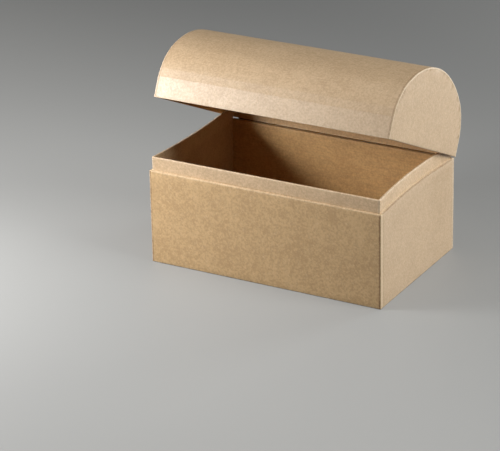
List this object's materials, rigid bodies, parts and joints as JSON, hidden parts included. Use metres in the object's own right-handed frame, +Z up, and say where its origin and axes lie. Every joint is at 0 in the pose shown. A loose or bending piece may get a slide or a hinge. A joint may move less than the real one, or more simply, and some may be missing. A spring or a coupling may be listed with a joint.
{
  "type": "treasure chest box",
  "caption": "Rectangular board chest with a raised inner neck and a domed lid that swings on a paper strip across the back.",
  "frame": {"origin": "centre of the underside of the base, on the face it stands on", "axes": "+X along the chest's length to its right as seen from the front, -Y out of the front, +Z up; the lid is shown open about 26 degrees"},
  "size_m": [0.3024, 0.2079, 0.2535],
  "materials": {
    "greyboard": "matte",
    "kraft_cover": "matte",
    "kraft_lining": "matte",
    "hinge_paper": "matte"
  },
  "bodies": {
    "base": {"bottom_paper": "kraft_cover", "bottom_board": "greyboard", "front_board": "greyboard", "back_board": "greyboard", "right_board": "greyboard", "left_board": "greyboard", "front_paper": "kraft_cover", "back_paper": "kraft_cover", "right_paper": "kraft_cover", "left_paper": "kraft_cover", "neck_front_board": "greyboard", "neck_right_board": "greyboard", "neck_left_board": "greyboard", "neck_front_paper": "kraft_cover", "neck_right_paper": "kraft_cover", "neck_left_paper": "kraft_cover", "back_liner_board": "greyboard", "back_liner_paper": "kraft_lining", "floor_lining": "kraft_lining", "hinge_strip_lower": "hinge_paper"},
    "lid": {"lid_cover_board": "greyboard", "lid_cover_paper": "kraft_cover", "lid_right_end_board": "greyboard", "lid_left_end_board": "greyboard", "lid_right_end_paper": "kraft_cover", "lid_left_end_paper": "kraft_cover", "lid_lining": "kraft_lining", "lid_right_end_lining": "kraft_lining", "lid_left_end_lining": "kraft_lining", "hinge_strip_upper": "hinge_paper"}
  },
  "joints": [
    {"name": "lid_hinge", "type": "hinge", "parent": "base", "child": "lid", "pos_m": [0, 0.0974, 0.116], "axis": [-1, 0, 0], "range_deg": [-25.7, 149.3]}
  ]
}
